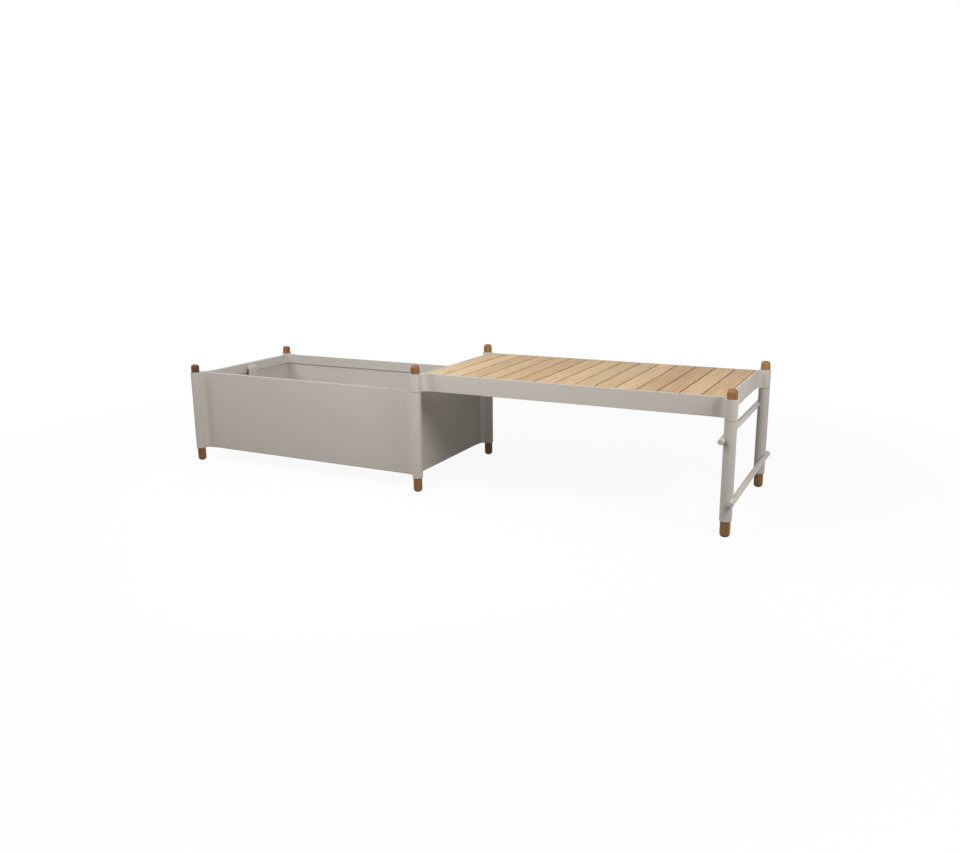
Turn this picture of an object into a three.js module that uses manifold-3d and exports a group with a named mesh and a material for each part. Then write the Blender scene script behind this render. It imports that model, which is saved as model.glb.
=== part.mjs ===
import * as THREE from "three";
import { mergeVertices } from "three/addons/utils/BufferGeometryUtils.js";
import Module from "manifold-3d";

// A low outdoor bench that shares its two left legs with a planter box.
// Millimetres, +Z up, +X along the length, +Y to the back.
// The origin is on the ground, in the middle of the footprint.

// The six upright tubes, axis to axis
const planter_length = 1080;
const bench_length = 1140;
const frame_depth = 600;
const tube_radius = 20;
const tube_wall = 3;
const tube_bottom = 55;
const post_top = 382.5;

// The bench frame that sits on the tubes
const joint_reveal = 1.5;
const frame_height = 66;
const face_inset = 22;
const corner_fillet = 22;
const wing_reach = 60;
const cast_wall = 6;
const cast_root = 8;
const rail_web = 3;
const rail_lip_depth = 8;
const rail_lip_slope = 3;
const rail_edge_round = 1.5;
const rail_bottom_lip = 14;
const ledge_width = 28;

// The slats and what carries them
const slat_count = 15;
const slat_gap = 5;
const slat_end_gap = 1.5;
const slat_thickness = 20;
const slat_edge_round = 2.5;
const bearer_width = 30;
const bearer_height = 20;
const bearer_sheet = 2.5;
const bearer_bend = 2.5;
const bearer_spacing = 190;

// The planter's walls, folded in at the foot, and the roots of its corner posts
const wall_sheet = 3;
const wall_bend = 3;
const wall_top = 381;
const wall_foot_flange = 22;
const post_root = 2;

// The rim inside the walls: a flat top flange with a skirt below it
const rim_width = 12;
const rim_height = 39.5;
const rim_sheet = 2;
const rim_inner_corner = 10;
const rim_outer_corner = 5;

// The planter's floor: bearers and liner
const base_width = 60;
const base_height = 20;
const base_place_shares = [1 / 6, 1 / 2, 5 / 6];
const liner_sheet = 2;
const liner_wall_gap = 1.5;
const liner_below_wall_top = 16;
const drain_radius = 7;
const drain_columns = 4;
const drain_rows = 2;

// The bent straps inside the planter's two end walls
const strap_width = 52;
const strap_sheet = 2.5;
const strap_bend = 11;
const strap_stand = 15;
const strap_slope_drop = 11;
const strap_flange = 7;
const strap_below_rim_top = 3;
const strap_length = 130;

// Teak dowels: caps above the tubes, feet below them
const cap_height = 32;
const cap_stem = 30;
const cap_round = 11;
const foot_round = 12;
const dowel_chamfer = 1.5;

// Sleeves between the bench corners and the tubes
const spigot_up = 30;
const spigot_collar_inset = 1.5;

// The two rungs let into the sides of the legs
const rung_radius = 10;
const rung_overhang = 43;
const rung_chamfer = 1.5;
const upper_rung_height = 320;
const lower_rung_height = 123;
const rung_dowel_gap = 8;

// Clearance between seated pieces, the reach of a cut past its piece, and the facets of round forms
const seat_gap = 0.3;
const overrun = 5;
const arc_error = 0.15;
const turned_sides = 32;
const hole_sides = 16;

// Sizes and places worked out from the ones above
const bore_radius = tube_radius - tube_wall;
const dowel_radius = bore_radius - seat_gap;
const rung_offset = tube_radius;
const foot_top = lower_rung_height - rung_radius - rung_dowel_gap;
const spigot_down = post_top - upper_rung_height - rung_radius - rung_dowel_gap;
const frame_bottom = post_top + joint_reveal;
const seat_height = frame_bottom + frame_height;
const rim_face = face_inset + rim_width;
const rim_behind = rim_width - wall_sheet - liner_wall_gap - liner_sheet;
const liner_inset = face_inset + wall_sheet + liner_wall_gap;
const total_length = tube_radius + planter_length + bench_length + rung_offset + rung_radius;
const left_x = tube_radius - total_length / 2;
const shared_x = left_x + planter_length;
const leg_x = shared_x + bench_length;
const front_y = -frame_depth / 2;

const wasm = await Module();
wasm.setup();

const quarter_turn = Math.PI / 2;
const half_turn = Math.PI;

const paint = new THREE.MeshStandardMaterial({ color: 0xb4ada3, roughness: 0.55, metalness: 0.1 });
const cast_paint = new THREE.MeshStandardMaterial({ color: 0xb8b1a7, roughness: 0.55, metalness: 0.1 });
const liner_paint = new THREE.MeshStandardMaterial({ color: 0xada69c, roughness: 0.6, metalness: 0.1 });
const bare_metal = new THREE.MeshStandardMaterial({ color: 0xa9abad, roughness: 0.4, metalness: 0.9 });
const slat_teak = new THREE.MeshStandardMaterial({ color: 0xd4b489, roughness: 0.65, metalness: 0 });
const dowel_teak = new THREE.MeshStandardMaterial({ color: 0x9a6a3c, roughness: 0.6, metalness: 0 });

// Points of an arc in a plane, both ends included, close enough to the true arc by the allowed error
function arc(x, y, radius, from, to) {
  const facet_angle = 2 * Math.acos(1 - arc_error / radius);
  const steps = Math.max(2, Math.ceil(Math.abs(to - from) / facet_angle));
  const points = [];
  for (let i = 0; i <= steps; i++) {
    const angle = from + ((to - from) * i) / steps;
    points.push(new THREE.Vector2(x + radius * Math.cos(angle), y + radius * Math.sin(angle)));
  }
  return points;
}

function point(x, y) {
  return new THREE.Vector2(x, y);
}

// A straight prism that stands on z = 0
function prism(shape, height) {
  return new THREE.ExtrudeGeometry(shape, { depth: height, bevelEnabled: false });
}

// A section drawn in y and z, run along x and centred on it
function run_along_x(shape, length) {
  const geometry = prism(shape, length);
  geometry.translate(0, 0, -length / 2);
  const to_x = new THREE.Matrix4().makeBasis(
    new THREE.Vector3(0, 1, 0),
    new THREE.Vector3(0, 0, 1),
    new THREE.Vector3(1, 0, 0),
  );
  return geometry.applyMatrix4(to_x);
}

// A section drawn in x and z, run along y and centred on it
function run_along_y(shape, length) {
  const geometry = prism(shape, length);
  geometry.translate(0, 0, -length / 2);
  return geometry.rotateX(quarter_turn);
}

// A solid turned about z from a profile of radius and height
function turned(profile) {
  return new THREE.LatheGeometry(profile, turned_sides).rotateX(quarter_turn);
}

function solid_of(geometry) {
  const bare = geometry.clone();
  bare.deleteAttribute("normal");
  bare.deleteAttribute("uv");
  const merged = mergeVertices(bare);
  return new wasm.Manifold(
    new wasm.Mesh({
      numProp: 3,
      vertProperties: new Float32Array(merged.attributes.position.array),
      triVerts: new Uint32Array(merged.index.array),
    }),
  );
}

function geometry_of(solid) {
  const mesh = solid.getMesh();
  const geometry = new THREE.BufferGeometry();
  geometry.setAttribute("position", new THREE.BufferAttribute(mesh.vertProperties, mesh.numProp));
  geometry.setIndex(new THREE.BufferAttribute(mesh.triVerts, 1));
  geometry.computeVertexNormals();
  return geometry;
}

// The centre line of a folded sheet: corners joined by bends of one radius
function fold_line(corners, bend) {
  const points = [corners[0]];
  for (let i = 1; i < corners.length - 1; i++) {
    const back = corners[i - 1].clone().sub(corners[i]).normalize();
    const ahead = corners[i + 1].clone().sub(corners[i]).normalize();
    const half_angle = Math.acos(back.dot(ahead)) / 2;
    const middle = back.clone().add(ahead).normalize();
    const centre = corners[i].clone().addScaledVector(middle, bend / Math.sin(half_angle));
    const start = corners[i].clone().addScaledVector(back, bend / Math.tan(half_angle)).sub(centre);
    const end = corners[i].clone().addScaledVector(ahead, bend / Math.tan(half_angle)).sub(centre);
    let sweep = end.angle() - start.angle();
    if (sweep > half_turn) sweep -= 2 * half_turn;
    if (sweep < -half_turn) sweep += 2 * half_turn;
    points.push(...arc(centre.x, centre.y, bend, start.angle(), start.angle() + sweep));
  }
  points.push(corners[corners.length - 1]);
  return points;
}

// The section of a sheet that follows a centre line
function sheet_section(line, thickness) {
  const sides = [[], []];
  line.forEach((here, i) => {
    const before = line[Math.max(i - 1, 0)];
    const after = line[Math.min(i + 1, line.length - 1)];
    const into = here.clone().sub(i > 0 ? before : here.clone().multiplyScalar(2).sub(after)).normalize();
    const out = (i < line.length - 1 ? after.clone().sub(here) : here.clone().sub(before)).normalize();
    const along = into.add(out).normalize();
    const across = new THREE.Vector2(-along.y, along.x);
    const reach = thickness / 2 / Math.abs(across.dot(new THREE.Vector2(-out.y, out.x)));
    sides[0].push(here.clone().addScaledVector(across, reach));
    sides[1].push(here.clone().addScaledVector(across, -reach));
  });
  return new THREE.Shape([...sides[0], ...sides[1].reverse()]);
}

// Seen from above, a round tube whose two wings sweep out of it to the wall planes.
// The wings run to +x and +y, and the bore is left open.
function corner_section(wall, root) {
  const inner = face_inset + wall;
  const near = face_inset - corner_fillet;
  const along = Math.sqrt((tube_radius + corner_fillet) ** 2 - near ** 2);
  const lean = Math.atan2(-near, along);
  const outline = [
    point(wing_reach, face_inset),
    ...arc(along, near, corner_fillet, quarter_turn, half_turn - lean),
    ...arc(0, 0, tube_radius, -lean, lean - 3 * quarter_turn).slice(1, -1),
    ...arc(near, along, corner_fillet, lean - quarter_turn, 0),
    point(face_inset, wing_reach),
    point(inner, wing_reach),
    ...arc(inner + root, inner + root, root, half_turn, 3 * quarter_turn),
    point(wing_reach, inner),
  ];
  const section = new THREE.Shape(outline);
  section.holes.push(new THREE.Path(arc(0, 0, bore_radius, 0, 4 * quarter_turn).slice(1)));
  return section;
}

function planter_post() {
  return prism(corner_section(wall_sheet, post_root), post_top - tube_bottom);
}

// A rectangle with rounded corners, inset from the axes of the planter's posts
function planter_outline(inset, corner) {
  const x = planter_length / 2 - inset - corner;
  const y = frame_depth / 2 - inset - corner;
  return [
    ...arc(x, y, corner, 0, quarter_turn),
    ...arc(-x, y, corner, quarter_turn, half_turn),
    ...arc(-x, -y, corner, half_turn, 3 * quarter_turn),
    ...arc(x, -y, corner, 3 * quarter_turn, 4 * quarter_turn),
  ];
}

// The rim's skirt and top flange, the top at zero
function planter_rim() {
  const skirt = new THREE.Shape(planter_outline(rim_face - rim_sheet, rim_inner_corner + rim_sheet));
  skirt.holes.push(new THREE.Path(planter_outline(rim_face, rim_inner_corner)));
  const flange_inset = face_inset + wall_sheet + seat_gap;
  const flange = new THREE.Shape(planter_outline(flange_inset, rim_outer_corner));
  const lap = rim_sheet / 2;
  flange.holes.push(new THREE.Path(planter_outline(rim_face - lap, rim_inner_corner + lap)));
  const skirt_solid = solid_of(prism(skirt, rim_height).translate(0, 0, -rim_height));
  const flange_solid = solid_of(prism(flange, rim_sheet).translate(0, 0, -rim_sheet));
  return geometry_of(skirt_solid.add(flange_solid));
}

function bench_corner() {
  return prism(corner_section(cast_wall, cast_root), frame_height);
}

// A planter wall: a tall face with a flange folded in at the foot
function planter_wall(length) {
  const half = wall_sheet / 2;
  const foot_height = tube_bottom + half;
  const corners = [point(wall_foot_flange, foot_height), point(half, foot_height), point(half, wall_top)];
  return run_along_x(sheet_section(fold_line(corners, wall_bend), wall_sheet), length);
}

// A bench rail: web, top lip, bottom lip and, on the long sides, a ledge for the slats
function bench_rail(length, with_ledge) {
  const ledge_top = frame_height - slat_thickness - seat_gap;
  const ledge = [
    point(rail_web, ledge_top - rail_web),
    point(ledge_width, ledge_top - rail_web),
    point(ledge_width, ledge_top),
    point(rail_web, ledge_top),
  ];
  const top_round = frame_height - rail_edge_round;
  const section = [
    ...arc(rail_edge_round, rail_edge_round, rail_edge_round, half_turn, 3 * quarter_turn),
    point(rail_bottom_lip, 0),
    point(rail_bottom_lip, rail_web),
    point(rail_web, rail_web),
    ...(with_ledge ? ledge : []),
    point(rail_web, frame_height - rail_lip_depth),
    point(cast_wall, frame_height - rail_lip_depth + rail_lip_slope),
    ...arc(cast_wall - rail_edge_round, top_round, rail_edge_round, 0, quarter_turn),
    ...arc(rail_edge_round, top_round, rail_edge_round, quarter_turn, half_turn),
  ];
  return run_along_x(new THREE.Shape(section), length);
}

function slat(width, length) {
  const side = width / 2;
  const round = side - slat_edge_round;
  const top = -slat_edge_round;
  const bottom = slat_edge_round - slat_thickness;
  const section = [
    ...arc(round, top, slat_edge_round, 0, quarter_turn),
    ...arc(-round, top, slat_edge_round, quarter_turn, half_turn),
    ...arc(-round, bottom, slat_edge_round, half_turn, 3 * quarter_turn),
    ...arc(round, bottom, slat_edge_round, 3 * quarter_turn, 4 * quarter_turn),
  ];
  return run_along_y(new THREE.Shape(section), length);
}

// A channel that is open below, its top at zero
function channel_section(width, height, sheet, bend) {
  const side = (width - sheet) / 2;
  const corners = [point(-side, -height), point(-side, -sheet / 2), point(side, -sheet / 2), point(side, -height)];
  return sheet_section(fold_line(corners, bend), sheet);
}

// A strap from the rim's skirt down to the liner, drawn from the skirt's inner face.
// It stands off the skirt below a closed slope, and its foot reaches back to the liner behind.
function end_strap() {
  const near = seat_gap + strap_sheet / 2;
  const behind = near - rim_behind;
  const far = strap_stand - strap_sheet / 2;
  const shoulder = strap_flange + strap_slope_drop;
  const corners = [
    point(near, 0),
    point(near, -strap_flange),
    point(far, -shoulder),
    point(far, shoulder + rim_behind - strap_length),
    point(behind, strap_flange - strap_length),
    point(behind, -strap_length),
  ];
  const line = fold_line(corners, strap_bend);
  const lead = line.filter((at) => at.y > -shoulder - strap_bend / 2);
  const slope = [point(seat_gap, 0), ...lead, point(seat_gap, lead[lead.length - 1].y)];
  const strap_solid = solid_of(run_along_y(sheet_section(line, strap_sheet), strap_width));
  return geometry_of(strap_solid.add(solid_of(run_along_y(new THREE.Shape(slope), strap_width))));
}

// A folded tray with drain holes in its floor, its underside at zero
function liner() {
  const length = planter_length - 2 * liner_inset;
  const depth = frame_depth - 2 * liner_inset;
  const height = wall_top - liner_below_wall_top - liner_bottom();
  const shell = new THREE.BoxGeometry(length, depth, height).translate(0, 0, height / 2);
  const room = new THREE.BoxGeometry(length - 2 * liner_sheet, depth - 2 * liner_sheet, height);
  room.translate(0, 0, height / 2 + liner_sheet);
  let tray = solid_of(shell).subtract(solid_of(room));
  for (let column = 0; column < drain_columns; column++) {
    for (let row = 0; row < drain_rows; row++) {
      const cut = 2 * (liner_sheet + overrun);
      const hole = new THREE.CylinderGeometry(drain_radius, drain_radius, cut, hole_sides);
      hole.rotateX(quarter_turn);
      const across = (column + 1 / 2) / drain_columns - 1 / 2;
      const up = (row + 1 / 2) / drain_rows - 1 / 2;
      hole.translate(across * length, up * depth, 0);
      tray = tray.subtract(solid_of(hole));
    }
  }
  return geometry_of(tray);
}

function base_bearer_top() {
  return tube_bottom + wall_sheet + seat_gap + base_height;
}

function liner_bottom() {
  return base_bearer_top() + seat_gap;
}

// A teak cap: a stem down in the bore and a round-edged end that stands above the tube
function cap() {
  return turned([
    point(0, -cap_stem),
    point(dowel_radius - dowel_chamfer, -cap_stem),
    point(dowel_radius, dowel_chamfer - cap_stem),
    ...arc(dowel_radius - cap_round, cap_height - cap_round, cap_round, 0, quarter_turn),
    point(0, cap_height),
  ]);
}

// A teak foot: it stands on the ground and ends in the bore just below the lower rung
function foot() {
  return turned([
    point(0, 0),
    ...arc(dowel_radius - foot_round, foot_round, foot_round, -quarter_turn, 0),
    point(dowel_radius, foot_top - dowel_chamfer),
    point(dowel_radius - dowel_chamfer, foot_top),
    point(0, foot_top),
  ]);
}

// A sleeve that joins a bench corner to the tube below, with a collar in the seam.
// It ends in the tube just above the upper rung.
function spigot() {
  const collar = tube_radius - spigot_collar_inset;
  return turned([
    point(0, -spigot_down),
    point(dowel_radius, -spigot_down),
    point(dowel_radius, seat_gap),
    point(collar, seat_gap),
    point(collar, joint_reveal - seat_gap),
    point(dowel_radius, joint_reveal - seat_gap),
    point(dowel_radius, spigot_up),
    point(0, spigot_up),
  ]);
}

function rung() {
  const end = frame_depth / 2 + rung_overhang;
  return new THREE.LatheGeometry(
    [
      point(0, -end),
      point(rung_radius - rung_chamfer, -end),
      point(rung_radius, rung_chamfer - end),
      point(rung_radius, end - rung_chamfer),
      point(rung_radius - rung_chamfer, end),
      point(0, end),
    ],
    turned_sides,
  );
}

// The rungs sit in saddles cut half into the side of the tube
function leg() {
  const section = new THREE.Shape(arc(0, 0, tube_radius, 0, 4 * quarter_turn).slice(1));
  section.holes.push(new THREE.Path(arc(0, 0, bore_radius, 0, 4 * quarter_turn).slice(1)));
  let tube = solid_of(prism(section, post_top - tube_bottom));
  const cut_radius = rung_radius + seat_gap;
  const cut_length = 2 * (tube_radius + overrun);
  const places = [
    [-rung_offset, upper_rung_height],
    [rung_offset, lower_rung_height],
  ];
  for (const [x, height] of places) {
    const saddle = new THREE.CylinderGeometry(cut_radius, cut_radius, cut_length, turned_sides);
    saddle.translate(x, 0, height - tube_bottom);
    tube = tube.subtract(solid_of(saddle));
  }
  return geometry_of(tube);
}

function add(group, name, geometry, material, place, turns = 0) {
  const mesh = new THREE.Mesh(geometry, material);
  mesh.name = name;
  mesh.position.set(...place);
  mesh.rotation.z = turns * quarter_turn;
  group.add(mesh);
}

// The four corners of a rectangle, each with the quarter turns that point its wings along the sides
function corners_of(length, depth) {
  return [
    { name: "front_left", x: -length / 2, y: -depth / 2, turns: 0 },
    { name: "front_right", x: length / 2, y: -depth / 2, turns: 1 },
    { name: "back_right", x: length / 2, y: depth / 2, turns: 2 },
    { name: "back_left", x: -length / 2, y: depth / 2, turns: 3 },
  ];
}

// The four sides of a rectangle, as the middle of each outer face and the run between two wings
function sides_of(length, depth) {
  const x = length / 2 - face_inset;
  const y = depth / 2 - face_inset;
  const trim = 2 * (wing_reach + seat_gap);
  return [
    { name: "front", x: 0, y: -y, turns: 0, run: length - trim, long: true },
    { name: "right", x, y: 0, turns: 1, run: depth - trim, long: false },
    { name: "back", x: 0, y, turns: 2, run: length - trim, long: true },
    { name: "left", x: -x, y: 0, turns: 3, run: depth - trim, long: false },
  ];
}

function planter() {
  const group = new THREE.Group();
  group.position.x = (left_x + shared_x) / 2;
  for (const corner of corners_of(planter_length, frame_depth)) {
    const at = [corner.x, corner.y];
    add(group, "planter_post_" + corner.name, planter_post(), paint, [...at, tube_bottom], corner.turns);
    add(group, "foot_planter_" + corner.name, foot(), dowel_teak, [...at, 0]);
    if (corner.x < 0) add(group, "post_cap_" + corner.name, cap(), dowel_teak, [...at, post_top]);
  }
  for (const side of sides_of(planter_length, frame_depth)) {
    add(group, "planter_wall_" + side.name, planter_wall(side.run), paint, [side.x, side.y, 0], side.turns);
  }
  const base_run = frame_depth - 2 * (face_inset + wall_sheet + wall_bend);
  base_place_shares.forEach((share, i) => {
    const section = channel_section(base_width, base_height, wall_sheet, wall_bend);
    const x = (share - 1 / 2) * planter_length;
    const place = [x, 0, base_bearer_top()];
    add(group, "base_bearer_" + (i + 1), run_along_y(section, base_run), bare_metal, place);
  });
  add(group, "planter_liner", liner(), liner_paint, [0, 0, liner_bottom()]);
  add(group, "planter_rim", planter_rim(), paint, [0, 0, wall_top]);
  const strap_x = planter_length / 2 - rim_face;
  const strap_top = wall_top - strap_below_rim_top;
  add(group, "end_strap_left", end_strap(), paint, [-strap_x, 0, strap_top]);
  add(group, "end_strap_right", end_strap(), paint, [strap_x, 0, strap_top], 2);
  return group;
}

function bench() {
  const group = new THREE.Group();
  group.position.x = (shared_x + leg_x) / 2;
  for (const corner of corners_of(bench_length, frame_depth)) {
    const at = [corner.x, corner.y];
    const place = [...at, frame_bottom];
    add(group, "bench_corner_" + corner.name, bench_corner(), cast_paint, place, corner.turns);
    add(group, "bench_cap_" + corner.name, cap(), dowel_teak, [...at, seat_height]);
    add(group, "spigot_" + corner.name, spigot(), bare_metal, [...at, post_top]);
  }
  for (const side of sides_of(bench_length, frame_depth)) {
    const place = [side.x, side.y, frame_bottom];
    add(group, "bench_rail_" + side.name, bench_rail(side.run, side.long), paint, place, side.turns);
  }
  const bearer_run = bench_length - 2 * (face_inset + rail_web + seat_gap);
  const bearer_top = seat_height - slat_thickness - seat_gap;
  for (const [name, way] of [["front", -1], ["back", 1]]) {
    const section = channel_section(bearer_width, bearer_height, bearer_sheet, bearer_bend);
    const place = [0, (way * bearer_spacing) / 2, bearer_top];
    add(group, "seat_bearer_" + name, run_along_x(section, bearer_run), bare_metal, place);
  }
  const clear_length = bench_length - 2 * (face_inset + cast_wall);
  const slat_width = (clear_length - (slat_count + 1) * slat_gap) / slat_count;
  const slat_length = frame_depth - 2 * (face_inset + cast_wall + slat_end_gap);
  for (let i = 0; i < slat_count; i++) {
    const x = (slat_width + slat_gap) * (i - (slat_count - 1) / 2);
    const name = "slat_" + String(i + 1).padStart(2, "0");
    add(group, name, slat(slat_width, slat_length), slat_teak, [x, 0, seat_height]);
  }
  return group;
}

function leg_frame() {
  const group = new THREE.Group();
  group.position.x = leg_x;
  for (const [name, y] of [["front", front_y], ["back", -front_y]]) {
    add(group, "leg_" + name, leg(), paint, [0, y, tube_bottom]);
    add(group, "foot_leg_" + name, foot(), dowel_teak, [0, y, 0]);
  }
  add(group, "rung_upper", rung(), paint, [-rung_offset, 0, upper_rung_height]);
  add(group, "rung_lower", rung(), paint, [rung_offset, 0, lower_rung_height]);
  return group;
}

const bench_with_planter = new THREE.Group();
bench_with_planter.add(planter(), bench(), leg_frame());

export default bench_with_planter;
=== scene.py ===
import math

import bmesh
import bpy
from mathutils import Matrix, Vector


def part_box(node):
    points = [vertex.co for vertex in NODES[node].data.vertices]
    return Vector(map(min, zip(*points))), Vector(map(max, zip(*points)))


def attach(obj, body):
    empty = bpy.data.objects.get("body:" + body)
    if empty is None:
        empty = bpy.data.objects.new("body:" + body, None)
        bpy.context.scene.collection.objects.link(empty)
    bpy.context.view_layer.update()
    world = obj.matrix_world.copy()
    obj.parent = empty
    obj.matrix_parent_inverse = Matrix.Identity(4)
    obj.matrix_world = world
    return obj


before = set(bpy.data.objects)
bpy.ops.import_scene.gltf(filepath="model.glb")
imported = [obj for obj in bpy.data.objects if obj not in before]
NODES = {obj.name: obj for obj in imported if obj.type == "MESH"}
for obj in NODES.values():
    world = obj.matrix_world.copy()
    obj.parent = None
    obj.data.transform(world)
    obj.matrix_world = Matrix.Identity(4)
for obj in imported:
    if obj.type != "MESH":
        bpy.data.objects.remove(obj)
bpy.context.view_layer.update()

# A low outdoor bench that shares its two left legs with a planter box.
# It stands in the frame as the model does: x along it, y to the back, z up, in metres.
MM = 0.001
SEAT_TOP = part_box("bench_corner_front_left")[1][2]
PLANTER_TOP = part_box("planter_rim")[1][2]
SLATS = sorted(name for name in NODES if name.startswith("slat_"))
FIRST_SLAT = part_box(SLATS[0])
SLAT_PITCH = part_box(SLATS[1])[0][0] - FIRST_SLAT[0][0]
SLAT_GAP = SLAT_PITCH - (FIRST_SLAT[1][0] - FIRST_SLAT[0][0])


def srgb(red, green, blue):
    """A colour written as it looks on screen, from 0 to 255, turned into light values."""
    shares = [part / 255 for part in (red, green, blue)]
    linear = [s / 12.92 if s <= 0.04045 else ((s + 0.055) / 1.055) ** 2.4 for s in shares]
    return (*linear, 1.0)


# Powder coat, what settles on it or wears it, and its painted shade and highlight
PAINT_GREY = srgb(193, 187, 180)
LINER_GREY = srgb(195, 190, 184)
PAINTED_END_SHADE = srgb(150, 143, 133)
DUST_AND_EDGE_SHADE = srgb(148, 140, 128)
SCUFFED = srgb(158, 153, 146)
POLISH_AND_HIGHLIGHT = srgb(214, 208, 199)

# Teak: dark late wood, its middle tone and pale early wood
SLAT_WOOD = (srgb(170, 142, 111), srgb(205, 180, 149), srgb(222, 200, 171))
DOWEL_WOOD = (srgb(108, 74, 39), srgb(153, 111, 64), srgb(182, 139, 84))
FOOT_BOTTOM_GREY = srgb(106, 94, 70)

# Tints that are multiplied into teak: in its pores, from board to board and dowel to dowel, and as
# painted shade in the gaps
PORE_TINT = srgb(150, 112, 84)
COOL_BOARD = srgb(255, 254, 240)
WARM_BOARD = srgb(255, 246, 230)
DARK_BOARD = srgb(226, 216, 204)
PAINTED_GAP_SHADE = srgb(190, 164, 136)
DOWEL_TONE_AND_SHADE = srgb(150, 116, 70)

# Mill-finish aluminium
DULL_METAL = srgb(150, 151, 153)
BRIGHT_METAL = srgb(186, 187, 189)

# The studio: the floor as the light meets it and as the eye sees it, and the room around it
FLOOR_IN_LIGHT = srgb(152, 147, 137)
FLOOR_TO_EYE = srgb(240, 240, 240)
ROOM = (1.0, 0.985, 0.965, 1.0)
WHITE = (1.0, 1.0, 1.0, 1.0)

# Seeds of the random triples: they decide which boards and dowels are the darker ones. The dowel
# seed puts a dark tint on the front left post's cap as painted shade
SLAT_SEED = 33572.0
DOWEL_SEED = (22.0, 37.0, 0.0)
# Cells that hold one dowel each, by their number in a metre along x, y and z
DOWEL_CELLS = (1.7, 1.7, 4.0)
# How far apart in the log, in metres, the boards and dowels may have been cut
LOG_SPREAD = (7.0, 3.0, 5.0)


class Term:
    """A value that varies over a surface. Sums and products of terms add their own nodes."""

    def __init__(self, sheet, socket):
        self.sheet = sheet
        self.socket = socket

    def math(self, operation, *values):
        """One Math node on these values, in their order."""
        return self.sheet.add("Math", {"operation": operation}, dict(enumerate(values)))

    def __add__(self, other):
        return self.math("ADD", self, other)

    def __sub__(self, other):
        return self.math("SUBTRACT", self, other)

    def __rsub__(self, other):
        return self.math("SUBTRACT", other, self)

    def __mul__(self, other):
        return self.math("MULTIPLY", self, other)

    def __truediv__(self, other):
        return self.math("DIVIDE", self, other)

    __radd__ = __add__
    __rmul__ = __mul__

    def floor(self):
        return self.math("FLOOR", self)

    def size(self):
        return self.math("ABSOLUTE", self)

    def either(self, other):
        return self.math("MAXIMUM", self, other)

    def ramp_between(self, low, high):
        """0 below low, 1 above high, smooth in between."""
        settings = {"interpolation_type": "SMOOTHSTEP"}
        sockets = {"Value": self, "From Min": low, "From Max": high}
        return self.sheet.add("MapRange", settings, sockets)


class Sheet:
    """The sheet of nodes of one finish."""

    def __init__(self, name):
        self.material = bpy.data.materials.new(name)
        self.material.use_nodes = True
        self.clear(self.material.node_tree)

    def clear(self, tree):
        self.tree = tree
        tree.nodes.clear()

    @classmethod
    def over(cls, tree):
        """A sheet on a node tree that isn't a material's."""
        sheet = cls.__new__(cls)
        sheet.clear(tree)
        return sheet

    def add(self, kind, settings=None, sockets=None, output=0):
        """Adds a node, its settings first and then the value or link of each socket."""
        node = self.tree.nodes.new("ShaderNode" + kind)
        for name, value in (settings or {}).items():
            if name == "stops":
                self.set_stops(node.color_ramp, value)
            else:
                setattr(node, name, value)
        for name, value in (sockets or {}).items():
            if isinstance(value, Term):
                self.tree.links.new(value.socket, node.inputs[name])
            else:
                node.inputs[name].default_value = value
        return Term(self, node.outputs[output]) if node.outputs else None

    def set_stops(self, ramp, stops):
        while len(ramp.elements) < len(stops):
            ramp.elements.new(1.0)
        for element, (place, colour) in zip(ramp.elements, stops):
            element.position = place
            element.color = colour

    def place(self):
        """The point of the surface in the bench's own frame."""
        return self.add("TexCoord", output="Object")

    def facing(self):
        """The way that the surface faces, before any bump."""
        return self.add("NewGeometry", output="Normal")

    def axis(self, vector, name):
        return self.add("SeparateXYZ", None, {0: vector}, "XYZ".index(name))

    def stretch(self, vector, *scales):
        return self.add("VectorMath", {"operation": "MULTIPLY"}, {0: vector, 1: scales})

    def shift(self, vector, by):
        return self.add("VectorMath", {"operation": "ADD"}, {0: vector, 1: by})

    def noise(self, vector, scale, detail=2.0, roughness=0.5, distortion=0.0):
        sockets = {"Vector": vector, "Scale": scale, "Detail": detail, "Roughness": roughness}
        sockets["Distortion"] = distortion
        return self.add("TexNoise", None, sockets)

    def mix(self, share, first, second, blend="MIX"):
        settings = {"data_type": "RGBA", "blend_type": blend}
        return self.add("Mix", settings, {0: share, 6: first, 7: second}, 2)

    def tinted(self, share, colour, tint):
        """A colour multiplied by a tint, as far as the share goes."""
        return self.mix(share, colour, self.mix(1.0, colour, tint, "MULTIPLY"))

    def mottled(self, colour, *layers):
        """A colour made lighter and darker by noises, each with the width of its swing."""
        level = 1 - sum(swing for noise, swing in layers) / 2
        for noise, swing in layers:
            level = noise * swing + level
        grey = self.add("CombineXYZ", None, {0: level, 1: level, 2: level})
        return self.mix(1.0, colour, grey, "MULTIPLY")

    def ramp(self, share, *stops):
        return self.add("ValToRGB", {"stops": stops}, {"Fac": share})

    def bump(self, height, strength, distance):
        sockets = {"Height": height, "Strength": strength, "Distance": distance}
        return self.add("Bump", None, sockets)

    def finish(self, **sockets):
        """The surface itself. Sockets are named with underscores for spaces."""
        named = {name.replace("_", " "): value for name, value in sockets.items()}
        surface = self.add("BsdfPrincipled", None, named)
        self.add("OutputMaterial", None, {"Surface": surface})
        return self.material


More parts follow.
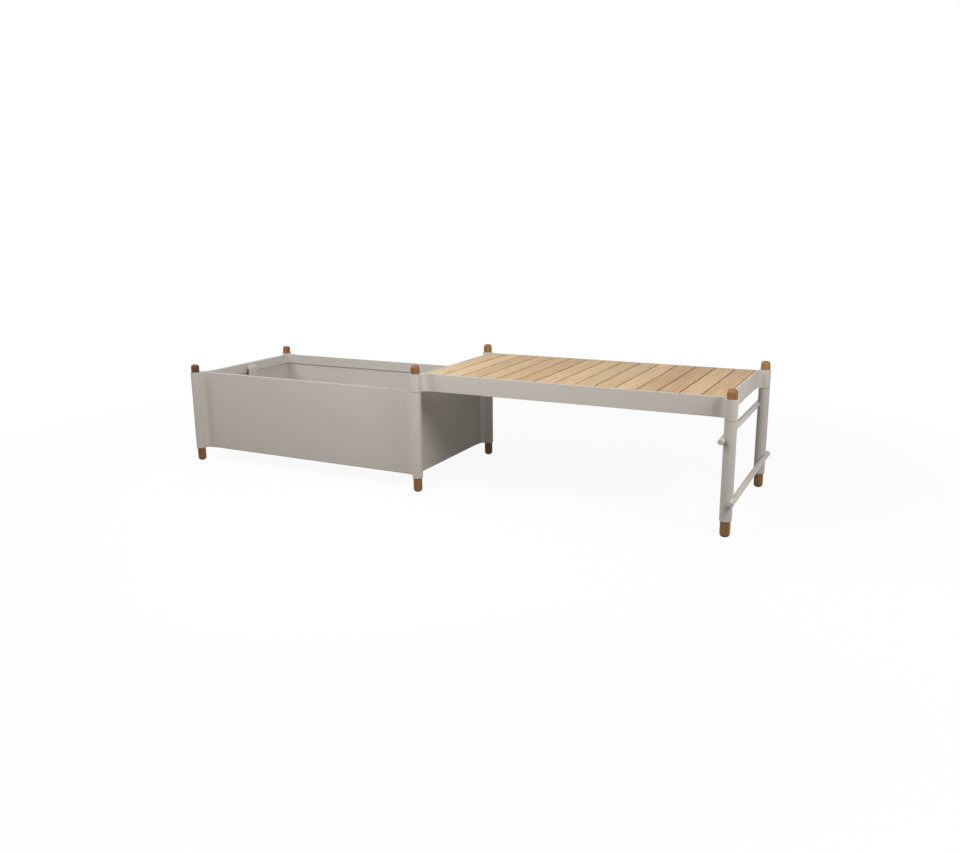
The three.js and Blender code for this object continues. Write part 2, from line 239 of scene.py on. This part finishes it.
def powder_coat(name, colour, dust_and_shade, end_shade=0.0):
    """Fine matt powder coat: a faint mottle, orange peel, dust, scuffs and polish, with painted
    shade on the planter's top edge and, where asked, on the lining's end, and a painted highlight
    on the seat's rails.
    """
    sheet = Sheet(name)
    place = sheet.place()
    facing = sheet.facing()
    height = sheet.axis(place, "Z")
    mottle = sheet.noise(place, 5.0, 3.0)
    peel = sheet.noise(place, 420.0)
    speckle = sheet.noise(place, 1400.0)
    coat = sheet.mottled(colour, (mottle, 0.05), (speckle, 0.06))

    # Painted shade darkens the lining's walls that face +X, at the end away from the bench
    if end_shade:
        end_shade_mask = sheet.axis(facing, "X").ramp_between(0.5, 0.9) * (0.7 + mottle * 0.6)
        coat = sheet.mix(end_shade_mask * end_shade, coat, PAINTED_END_SHADE)

    # Dust lies on what looks up, and painted shade darkens the planter's top edge, but neither
    # reaches the seat's rails
    facing_up = sheet.axis(facing, "Z").ramp_between(0.5, 1.0)
    drift = sheet.noise(place, 38.0, 5.0, 0.65).ramp_between(0.42, 0.75)
    seat = height.ramp_between(SEAT_TOP - 3 * MM, SEAT_TOP - 0.5 * MM)
    planter_edge = height.ramp_between(PLANTER_TOP - 4 * MM, PLANTER_TOP - 1 * MM)
    dust_and_edge_shade = facing_up * (0.5 + drift * 0.5) * (0.2 + planter_edge * 0.8) * (1 - seat)
    coat = sheet.mix(dust_and_edge_shade * dust_and_shade, coat, DUST_AND_EDGE_SHADE)

    # Shoes scuff the lower ends of the legs
    hairlines = sheet.noise(sheet.stretch(place, 6.0, 6.0, 90.0), 14.0, 3.0, 0.7)
    low = 1 - height.ramp_between(60 * MM, 200 * MM)
    scuffs = hairlines.ramp_between(0.62, 0.7) * low
    coat = sheet.mix(scuffs * 0.22, coat, SCUFFED)

    # Clothes polish the seat's rails, and a painted highlight lightens their top
    polish_and_highlight = seat * (1 - drift * 0.6)
    coat = sheet.mix(polish_and_highlight * 0.5, coat, POLISH_AND_HIGHLIGHT)

    return sheet.finish(
        Base_Color=coat,
        Roughness=0.46 + mottle * 0.1 + dust_and_edge_shade * 0.15 - polish_and_highlight * 0.1 + scuffs * 0.1,
        Metallic=0.0,
        Normal=sheet.bump(peel * 0.7 + speckle * 0.3 - scuffs * 0.3, 0.12, 0.25 * MM),
    )


def grain_scales(along, lengthwise, across=1.0):
    """How a pattern is scaled along the grain and across it."""
    return [lengthwise if axis == along else across for axis in "XYZ"]


class Timber:
    """Solid teak with its grain along one axis. Every board or dowel is its own piece of wood."""

    def __init__(self, name, along, number_of):
        self.sheet = sheet = Sheet(name)
        self.place = sheet.place()
        self.facing = sheet.facing()
        self.piece = number_of(sheet, self.place)
        log = sheet.shift(self.place, sheet.stretch(self.piece, *LOG_SPREAD))

        # From the broad bends of the grain to its finest fibres
        fibres = sheet.stretch(log, *grain_scales(along, 0.055))
        self.bend = sheet.noise(fibres, 14.0, 3.0, 0.6)
        self.figure = sheet.noise(fibres, 42.0, 4.0, 0.6, 1.4)
        self.streaks = sheet.noise(fibres, 210.0, 3.0, 0.6)
        self.fine = sheet.noise(fibres, 900.0, 2.0, 0.6)
        dashes = sheet.stretch(fibres, *grain_scales(along, 0.35))
        self.pores = sheet.noise(dashes, 620.0, 1.0).ramp_between(0.62, 0.72)
        self.clouds = sheet.noise(sheet.stretch(log, *grain_scales(along, 0.45, 1.3)), 13.0)

        # The cut ends show growth rings instead of fibres
        settings = {"wave_type": "RINGS", "rings_direction": along}
        sockets = {"Vector": log, "Scale": 95.0, "Distortion": 1.6, "Detail": 2.0}
        self.rings = sheet.add("TexWave", settings, sockets)
        self.cut = sheet.axis(self.facing, along).size().ramp_between(0.75, 0.95)

    def colour(self, dark, middle, pale, contrast):
        """From late wood to early wood, with pores, rings, fine threads and clouds."""
        sheet = self.sheet
        grain = self.figure * 0.5 + self.streaks * 0.3 + self.bend * 0.2
        tone = (grain - 0.5) * contrast + 0.5
        ends = self.rings * 0.35 + 0.25
        mixed = tone * (1 - self.cut) + ends * self.cut
        wood = sheet.ramp(mixed, (0.28, dark), (0.5, middle), (0.72, pale))
        lined = sheet.tinted(self.pores * 0.35 * (1 - self.cut), wood, PORE_TINT)
        return sheet.mottled(lined, (self.fine, 0.16), (self.clouds, 0.24))

    def finish(self, colour, roughness, specular=0.5):
        raised = self.streaks * 0.4 + self.fine * 0.25 + self.rings * self.cut * 0.4
        return self.sheet.finish(
            Base_Color=colour,
            Roughness=roughness + self.streaks * 0.12 + self.cut * 0.1,
            Specular_IOR_Level=specular,
            Normal=self.sheet.bump(raised - self.pores * 0.8, 0.3, 0.3 * MM),
        )


def slat_number(sheet, place):
    """A different random triple for each slat, from its place along the bench."""
    first_gap = FIRST_SLAT[0][0] - SLAT_GAP / 2
    number = ((sheet.axis(place, "X") - first_gap) / SLAT_PITCH).floor()
    seeded = number + SLAT_SEED
    return sheet.add("TexWhiteNoise", {"noise_dimensions": "1D"}, {"W": seeded}, "Color")


def dowel_number(sheet, place):
    """A different random triple for each dowel, from the cell of the bench that it is in."""
    cell = sheet.add("VectorMath", {"operation": "FLOOR"}, {0: sheet.stretch(place, *DOWEL_CELLS)})
    seeded = sheet.shift(cell, DOWEL_SEED)
    return sheet.add("TexWhiteNoise", {"noise_dimensions": "3D"}, {"Vector": seeded}, "Color")


def slat_teak():
    """Pale sanded teak that has started to silver, with painted shade on the slats' sides in the
    gaps.
    """
    timber = Timber("slat_teak", "Y", slat_number)
    sheet = timber.sheet
    wood = timber.colour(*SLAT_WOOD, contrast=0.95)
    warmth = sheet.mix(sheet.axis(timber.piece, "X"), COOL_BOARD, WARM_BOARD)
    wood = sheet.mix(1.0, wood, warmth, "MULTIPLY")
    wood = sheet.tinted(sheet.axis(timber.piece, "Y"), wood, DARK_BOARD)
    # Painted shade darkens the slats' sides, down in the gaps between them
    gap_side = 1 - sheet.axis(timber.facing, "Z").size().ramp_between(0.2, 0.9)
    wood = sheet.tinted(gap_side * 0.6, wood, PAINTED_GAP_SHADE)
    return timber.finish(wood, roughness=0.56)


def dowel_teak():
    """Warm oiled teak. The feet turn greyer and darker within 30 mm of the floor."""
    timber = Timber("dowel_teak", "Z", dowel_number)
    sheet = timber.sheet
    wood = timber.colour(*DOWEL_WOOD, contrast=1.5)
    # Some dowels get a dark tint at random, and the seed puts one on the front left post's cap as
    # painted shade
    wood = sheet.tinted(sheet.axis(timber.piece, "X"), wood, DOWEL_TONE_AND_SHADE)
    # Greyer and darker towards the floor, within 30 mm of it
    near_floor = 1 - sheet.axis(timber.place, "Z").ramp_between(0.0, 30 * MM)
    wood = sheet.mix(near_floor * 0.3, wood, FOOT_BOTTOM_GREY)
    return timber.finish(wood, roughness=0.46, specular=0.35)


def mill_metal():
    """Mill-finish aluminium, drawn along its length."""
    sheet = Sheet("mill_metal")
    place = sheet.place()
    drawn = sheet.noise(sheet.stretch(place, 0.03, 1.0, 1.0), 900.0)
    cloudy = sheet.noise(place, 24.0, 4.0)
    tone = sheet.ramp(drawn * 0.6 + cloudy * 0.4, (0.3, DULL_METAL), (0.7, BRIGHT_METAL))
    return sheet.finish(
        Base_Color=tone,
        Metallic=0.9,
        Roughness=0.34 + cloudy * 0.16,
        Normal=sheet.bump(drawn, 0.08, 0.1 * MM),
    )


PAINT = powder_coat("powder_coat", PAINT_GREY, dust_and_shade=0.8)
LINER = powder_coat("liner_coat", LINER_GREY, dust_and_shade=0.8, end_shade=0.22)
SLAT_TEAK = slat_teak()
DOWEL_TEAK = dowel_teak()
MILL_METAL = mill_metal()

# Points that lie this close are one, faces this flat are one, and edges this sharp are softened
SAME_POINT = 0.01 * MM
SAME_FACE = math.radians(0.5)
SHARP_EDGE = math.radians(38)


def dress(node, material, edge):
    """Gives a node of the model its finish, smooth rounds and softened edges."""
    node.data.materials.clear()
    node.data.materials.append(material)
    node.data.attributes.remove(node.data.attributes["custom_normal"])
    node.data.shade_smooth()
    weld = node.modifiers.new("weld", "WELD")
    weld.merge_threshold = SAME_POINT
    flats = node.modifiers.new("flats", "DECIMATE")
    flats.decimate_type = "DISSOLVE"
    flats.angle_limit = SAME_FACE
    if edge:
        soften = node.modifiers.new("soften", "BEVEL")
        soften.width = edge
        soften.segments = 2
        soften.limit_method = "ANGLE"
        soften.angle_limit = SHARP_EDGE
        soften.harden_normals = True
    even = node.modifiers.new("even", "WEIGHTED_NORMAL")
    even.keep_sharp = True


# How each kind of node is finished: the start of its name, its finish and its softened edge
FINISHES = (
    (("planter_post", "planter_wall", "planter_rim", "end_strap"), PAINT, 0.4 * MM),
    (("bench_corner", "bench_rail"), PAINT, 0.2 * MM),
    (("leg_", "rung_"), PAINT, 0.4 * MM),
    (("planter_liner",), LINER, 0.4 * MM),
    (("slat_",), SLAT_TEAK, 0.4 * MM),
    (("foot_", "bench_cap", "post_cap"), DOWEL_TEAK, 0.0),
    (("base_bearer", "seat_bearer", "spigot_"), MILL_METAL, 0.3 * MM),
)
for name, node in NODES.items():
    for starts, finish, edge in FINISHES:
        if name.startswith(starts):
            dress(node, finish, edge)


def add_piece(name, mesh_maker, material):
    """A detail of its own on the bench, made in mesh code and given a finish."""
    mesh = bpy.data.meshes.new(name)
    work = bmesh.new()
    mesh_maker(work)
    bmesh.ops.recalc_face_normals(work, faces=work.faces)
    work.to_mesh(mesh)
    work.free()
    mesh.materials.append(material)
    piece = bpy.data.objects.new(name, mesh)
    bpy.context.scene.collection.objects.link(piece)
    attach(piece, "root")


# A pan head screw in millimetres. The profile gives radius and depth, from its top to its back.
HEAD_SIDES = 12
SOCKET_RADIUS = 1.75
SOCKET_DEPTH = 1.5
HEAD_PROFILE = ((2.5, 0.0), (3.5, 0.35), (4.1, 1.1), (4.2, 1.8), (4.2, 2.6))
# The sheet at the top of the seat bearers, which the screws go up through
BEARER_SHEET = 2.5 * MM
DOWN = (0, 0, -1)


def screw_head(work, place, way):
    """A pan head with a hex socket, its back on a sheet at a place and its top the given way."""
    turn = Vector(way).to_track_quat("Z", "Y").to_matrix()
    tall = HEAD_PROFILE[-1][1]
    flat = math.cos(math.pi / 6)

    def ring(radius, depth, hexagon=False):
        points = []
        for i in range(HEAD_SIDES):
            angle = 2 * math.pi * i / HEAD_SIDES
            reach = radius * (flat if hexagon and i % 2 else 1.0)
            local = Vector((reach * math.cos(angle), reach * math.sin(angle), tall - depth))
            points.append(work.verts.new(Vector(place) + turn @ (local * MM)))
        return points

    rings = [ring(SOCKET_RADIUS, SOCKET_DEPTH, True), ring(SOCKET_RADIUS, 0.0, True)]
    rings += [ring(radius, depth) for radius, depth in HEAD_PROFILE]
    for lower, upper in zip(rings, rings[1:]):
        for i in range(HEAD_SIDES):
            j = (i + 1) % HEAD_SIDES
            work.faces.new((lower[i], lower[j], upper[j], upper[i]))
    work.faces.new(rings[0])
    work.faces.new(rings[-1])


def seat_screws(work):
    """Two rows of screws that hold the slats, up through the bearers below them."""
    for bearer in ("seat_bearer_front", "seat_bearer_back"):
        low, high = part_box(bearer)
        for slat in SLATS:
            left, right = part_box(slat)
            middle = ((left[0] + right[0]) / 2, (low[1] + high[1]) / 2, high[2] - BEARER_SHEET)
            screw_head(work, middle, DOWN)


add_piece("seat_screws", seat_screws, MILL_METAL)

# The floor's half side, how much it glows near the bench, and where it turns to plain white
FLOOR_HALF = 30.0
NEAR_GLOW = 0.93
WHITE_FROM, WHITE_BY = 1.3, 2.6
ROOM_LIGHT = 0.02

# Softboxes: azimuth (0 in front, 90 at the right) and elevation in degrees, distance and side in
# metres, power in watts, and the place along the bench that each one faces
SOFTBOXES = (
    ("front_low", 0, 20, 1.8, 0.6, 5.1, 0.0),
    ("front_high", 0, 45, 1.8, 0.6, 10.4, 0.2),
    ("left_front", -45, 40, 1.8, 0.6, 6.6, -0.4),
    ("left", -60, 35, 2.7, 0.8, 15.2, 0.0),
    ("right_front", 70, 28, 2.7, 0.8, 30.4, 0.0),
    ("right_far", 100, 20, 6.0, 1.6, 29.2, 0.0),
    ("overhead", 0, 88, 1.8, 1.0, 7.8, -0.6),
    ("behind", -120, 30, 2.7, 0.8, 13.0, 0.0),
    ("back_low", 180, 6, 3.0, 1.2, 18.0, 0.0),
)
AIM_HEIGHT = 0.3
# This low lamp would glare on the slats, so reflections leave it out
NO_GLARE = "back_low"

# The photograph's viewpoint, fitted to its posts, caps and feet, in metres, degrees and millimetres
CAMERA_PLACE = (1.62197, -3.03260, 0.99737)
CAMERA_TURN = 26.999
CAMERA_DIP = 13.210
CAMERA_ROLL = -0.562
CAMERA_LENS = 33.072
CAMERA_SENSOR = 36.0
NEAREST, FARTHEST = 0.05, 200.0


def background_rays(sheet):
    """1 for rays that look at the floor or the sky, straight or by a reflection."""
    camera, glossy, through = (sheet.add("LightPath", output=kind) for kind in
                               ("Is Camera Ray", "Is Glossy Ray", "Is Transmission Ray"))
    return camera.either(glossy).either(through)


def floor_finish():
    """White to the eye, more so far away, and plain grey paper to the light on the bench."""
    sheet = Sheet("floor")
    seen = background_rays(sheet)
    paper = sheet.mix(seen, FLOOR_IN_LIGHT, FLOOR_TO_EYE)
    matt = sheet.add("BsdfDiffuse", None, {"Color": paper})
    glow = sheet.add("Emission", None, {"Color": WHITE, "Strength": 1.0})
    spread = sheet.add("VectorMath", {"operation": "LENGTH"}, {0: sheet.place()}, "Value")
    share = NEAR_GLOW + (1 - NEAR_GLOW) * spread.ramp_between(WHITE_FROM, WHITE_BY)
    both = sheet.add("MixShader", None, {0: seen * share, 1: matt, 2: glow})
    sheet.add("OutputMaterial", None, {"Surface": both})
    return sheet.material


def make_floor():
    mesh = bpy.data.meshes.new("floor")
    signs = ((-1, -1), (1, -1), (1, 1), (-1, 1))
    corners = [(x * FLOOR_HALF, y * FLOOR_HALF, 0) for x, y in signs]
    mesh.from_pydata(corners, [], [(0, 1, 2, 3)])
    mesh.materials.append(floor_finish())
    floor = bpy.data.objects.new("floor", mesh)
    bpy.context.scene.collection.objects.link(floor)


def make_room():
    """A plain dim room for the light, and white for the eye and for reflections."""
    world = bpy.data.worlds.new("studio")
    bpy.context.scene.world = world
    world.use_nodes = True
    sheet = Sheet.over(world.node_tree)
    dim = sheet.add("Background", None, {"Color": ROOM, "Strength": ROOM_LIGHT})
    white = sheet.add("Background", None, {"Color": WHITE, "Strength": 1.0})
    both = sheet.add("MixShader", None, {0: background_rays(sheet), 1: dim, 2: white})
    sheet.add("OutputWorld", None, {"Surface": both})


def softbox(name, azimuth, elevation, distance, gap_side, power, target_x):
    """A square lamp that faces the bench."""
    lamp = bpy.data.lights.new(name, "AREA")
    lamp.shape = "SQUARE"
    lamp.size = gap_side
    lamp.energy = power
    around, up = math.radians(azimuth), math.radians(elevation)
    way = Vector((math.sin(around) * math.cos(up), -math.cos(around) * math.cos(up), math.sin(up)))
    holder = bpy.data.objects.new(name, lamp)
    holder.location = Vector((target_x, 0.0, AIM_HEIGHT)) + way * distance
    holder.rotation_euler = way.to_track_quat("Z", "Y").to_euler()
    holder.visible_glossy = name != NO_GLARE
    bpy.context.scene.collection.objects.link(holder)


def make_camera():
    data = bpy.data.cameras.new("camera")
    data.sensor_width = CAMERA_SENSOR
    data.lens = CAMERA_LENS
    data.clip_start = NEAREST
    data.clip_end = FARTHEST
    camera = bpy.data.objects.new("camera", data)
    bpy.context.scene.collection.objects.link(camera)
    turn = Matrix.Rotation(math.radians(CAMERA_TURN), 4, "Z")
    tip = Matrix.Rotation(math.radians(90 - CAMERA_DIP), 4, "X")
    roll = Matrix.Rotation(math.radians(CAMERA_ROLL), 4, "Z")
    camera.matrix_world = Matrix.Translation(CAMERA_PLACE) @ turn @ tip @ roll
    bpy.context.scene.camera = camera


make_floor()
make_room()
for values in SOFTBOXES:
    softbox(*values)
make_camera()
bpy.context.scene.view_settings.view_transform = "Standard"
